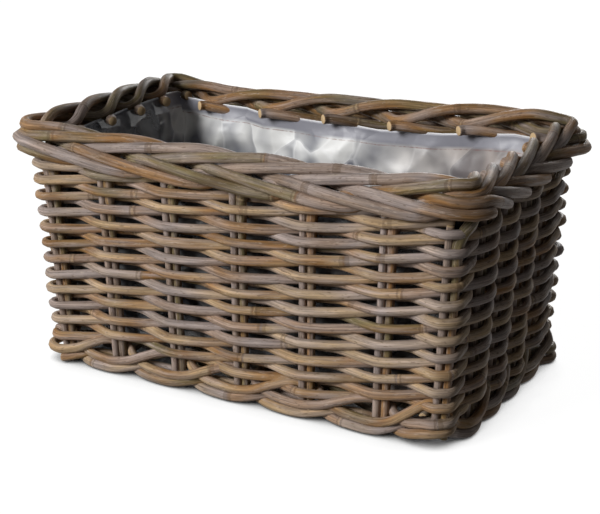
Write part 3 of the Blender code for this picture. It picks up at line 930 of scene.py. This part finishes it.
def fit_liner():
    """The liner: a wall of film round the inside and a floor of film over the base.

    The wall's points are a grid of turn and depth. Their way in is the weave's inner face, less a crumple
    made of folded sines, whose absolute values give sharp creases. The crumple is reckoned in
    millimetres: 52 from stake to stake, and 165 from the edge to the base.
    """
    s = sizes()
    lo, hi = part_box("liner")
    turns = np.linspace(0, STAKE_COUNT, 881)[:-1]
    depths = np.linspace(0, 1, 61)
    turn, depth = np.meshgrid(turns, depths)
    turn, depth = turn.ravel(), depth.ravel()
    around, deep = turn * 52, depth * 165
    top = table_at(turn, FILM_EDGE) * MM
    height = top + (lo[2] + 1 * MM - top) * depth
    inner = -(s.stake_thickness / 2 + s.weaver_thickness + 1.2 * MM)
    random = np.random.default_rng(5)
    crumple = np.zeros(len(turn))
    for size, strength in ((95, 0.075), (61, 0.07), (43, 0.05), (30, 0.03), (21, 0.025)):
        angle = random.uniform(0, math.pi)
        wave = around * math.cos(angle) + deep * math.sin(angle)
        wave = wave + 9 * np.sin(around / 37 + size) + 7 * np.sin(deep / 23 + size)
        crumple += size * strength * (1 - np.abs(np.sin(wave * math.pi / size)))
    out = inner - crumple * MM * np.clip(depth * 7, 0.2, 1)
    points, _ = place(turn, out, height)
    count = len(turns)
    points = np.vstack([points, [0, 0, lo[2] + 1 * MM]])
    corner = np.arange(count)
    after = (corner + 1) % count
    quads = ring_quads(corner, after, len(depths), 0)
    middle = len(points) - 1
    last = (len(depths) - 1) * count
    fans = [(last + a, last + b, middle) for a, b in zip(corner, after)]
    grain = np.column_stack([around, deep, np.zeros(len(turn))])
    grain = np.vstack([grain, [0, 200, 0]])
    shape = (points, quads[:, ::-1].tolist() + [fan[::-1] for fan in fans], {"grain": grain})
    piece = add_piece("film_liner", [shape], film_material(), ["liner"])
    wall = piece.modifiers.new("film thickness", "SOLIDIFY")
    wall.thickness = s.film_thickness
    wall.offset = 0
    size = hi - lo


class PLANTER_OT_stage(bpy.types.Operator):
    """Sets the pale floor, the soft light and the camera"""

    bl_idname = "planter.stage"
    bl_label = "Set the stage"

    def execute(self, context):
        add_floor()
        add_light("key", spot=(-1.3, -2.7, 1.65), size=1.2, power=100)
        add_light("behind", spot=(-0.8, 3.0, 0.9), size=1.6, power=55)
        add_world()
        add_camera()
        context.scene.view_settings.view_transform = "Standard"
        return {"FINISHED"}


def seen_as_white(tree):
    """1 on camera, mirror and see-through rays, 0 on the rays that light the object."""
    path = add_node(tree, "ShaderNodeLightPath").outputs
    total = maths(tree, "MAXIMUM", path["Is Camera Ray"], path["Is Glossy Ray"])
    return maths(tree, "MAXIMUM", total, path["Is Transmission Ray"])


def add_world():
    """A grey world that lights softly from the front left, and is seen and mirrored as white."""
    world = bpy.data.worlds.new("studio")
    world.use_nodes = True
    bpy.context.scene.world = world
    tree = world.node_tree
    tree.nodes.clear()
    way = add_node(tree, "ShaderNodeTexCoord").outputs["Generated"]
    sides = [(0, way), (1, (-0.8, -0.58, 0.1))]
    facing = add_node(tree, "ShaderNodeVectorMath", sides, operation="DOT_PRODUCT").outputs["Value"]
    soft = spread(tree, facing, -0.2, 0.9, 0.025, 0.2)
    strength = maths(tree, "MAXIMUM", seen_as_white(tree), soft)
    background = add_node(tree, "ShaderNodeBackground", [("Color", (1, 1, 1, 1)), ("Strength", strength)])
    add_node(tree, "ShaderNodeOutputWorld", [(0, background.outputs[0])])


def add_floor():
    """A pale floor out to the horizon.

    The camera sees it glow white, less where the planter shuts it in: a painted shadow from ambient
    occlusion, dark under the base.
    """
    mesh = bpy.data.meshes.new("floor")
    half = 30.0
    corners = [(x * half, y * half, 0) for x, y in ((-1, -1), (1, -1), (1, 1), (-1, 1))]
    mesh.from_pydata(corners, [], [(0, 1, 2, 3)])
    material, tree = new_material("pale floor")
    seen = seen_as_white(tree)
    shade = mixed(tree, seen, finish().floor_unseen, finish().floor)
    shader = add_node(tree, "ShaderNodeBsdfPrincipled", [("Base Color", shade), ("Roughness", 0.8)])
    # Painted shadow: the glow seen by the camera follows ambient occlusion, so the floor goes dark under and
    # beside the planter.
    closed = add_node(tree, "ShaderNodeAmbientOcclusion", [("Distance", 0.06)], samples=8).outputs["AO"]
    open_share = spread(tree, closed, 0.12, 0.6, 0.0, 1.1)
    glow = add_node(tree, "ShaderNodeEmission", [("Color", (1, 1, 1, 1)), ("Strength", open_share)])
    share = spread(tree, seen, 0, 1, 0.0, 0.88)
    both = add_node(tree, "ShaderNodeMixShader", [(0, share), (1, shader.outputs[0]), (2, glow.outputs[0])])
    add_node(tree, "ShaderNodeOutputMaterial", [(0, both.outputs[0])])
    mesh.materials.append(material)
    floor = bpy.data.objects.new("floor", mesh)
    bpy.context.scene.collection.objects.link(floor)


def add_light(name, spot, size, power):
    """A round lamp that faces the middle of the planter."""
    light = bpy.data.lights.new(name, "AREA")
    light.shape = "DISK"
    light.size = size
    light.energy = power
    lamp = bpy.data.objects.new(name, light)
    lamp.location = spot
    lamp.rotation_mode = "QUATERNION"
    lamp.rotation_quaternion = (Vector((0, 0, 0.1)) - Vector(spot)).to_track_quat("-Z", "Y")
    bpy.context.scene.collection.objects.link(lamp)


def add_camera():
    """The camera of the photo, as it was fitted to it."""
    stage = bpy.context.scene.planter_stage
    data = bpy.data.cameras.new("camera")
    data.sensor_fit = "HORIZONTAL"
    data.lens = data.sensor_width * stage.focal_pixels / IMAGE_WIDTH
    data.shift_x = IMAGE_SHIFT[0] / IMAGE_WIDTH
    data.shift_y = IMAGE_SHIFT[1] / IMAGE_WIDTH
    level = math.cos(stage.elevation)
    back = (math.sin(stage.azimuth) * level, -math.cos(stage.azimuth) * level, math.sin(stage.elevation))
    back = Vector(back)
    camera = bpy.data.objects.new("camera", data)
    camera.location = Vector((0.6 * MM, 0.3 * MM, stage.target_height)) + back * stage.distance
    camera.rotation_mode = "QUATERNION"
    turned = Quaternion((0, 0, 1), stage.roll)
    camera.rotation_quaternion = (-back).to_track_quat("-Z", "Y") @ turned
    bpy.context.scene.collection.objects.link(camera)
    bpy.context.scene.camera = camera


class PLANTER_PT_panel(bpy.types.Panel):
    """Lists the planter's pieces and settings"""

    bl_idname = "PLANTER_PT_panel"
    bl_label = "Rattan planter"
    bl_space_type = "VIEW_3D"
    bl_region_type = "UI"
    bl_category = "Planter"

    def draw(self, context):
        layout = self.layout
        for operator in OPERATORS:
            layout.operator(operator.bl_idname)
        scene = context.scene
        for group in (scene.planter_sizes, scene.planter_finish, scene.planter_stage):
            box = layout.box()
            for name in group.__annotations__:
                box.prop(group, name)


OPERATORS = (
    PLANTER_OT_stage,
    PLANTER_OT_stakes,
    PLANTER_OT_weavers,
    PLANTER_OT_wale,
    PLANTER_OT_base,
    PLANTER_OT_liner,
)
GROUPS = (PlanterSizes, PlanterFinish, PlanterStage)


def register():
    for kind in (*GROUPS, *OPERATORS, PLANTER_PT_panel):
        bpy.utils.register_class(kind)
    bpy.types.Scene.planter_sizes = PointerProperty(type=PlanterSizes)
    bpy.types.Scene.planter_finish = PointerProperty(type=PlanterFinish)
    bpy.types.Scene.planter_stage = PointerProperty(type=PlanterStage)


def unregister():
    del bpy.types.Scene.planter_stage
    del bpy.types.Scene.planter_finish
    del bpy.types.Scene.planter_sizes
    for kind in reversed((*GROUPS, *OPERATORS, PLANTER_PT_panel)):
        bpy.utils.unregister_class(kind)


def main():
    register()
    bpy.ops.planter.stage()
    bpy.ops.planter.stakes()
    bpy.ops.planter.weavers()
    bpy.ops.planter.wale()
    bpy.ops.planter.base()
    bpy.ops.planter.liner()
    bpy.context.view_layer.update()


if __name__ == "__main__":
    main()
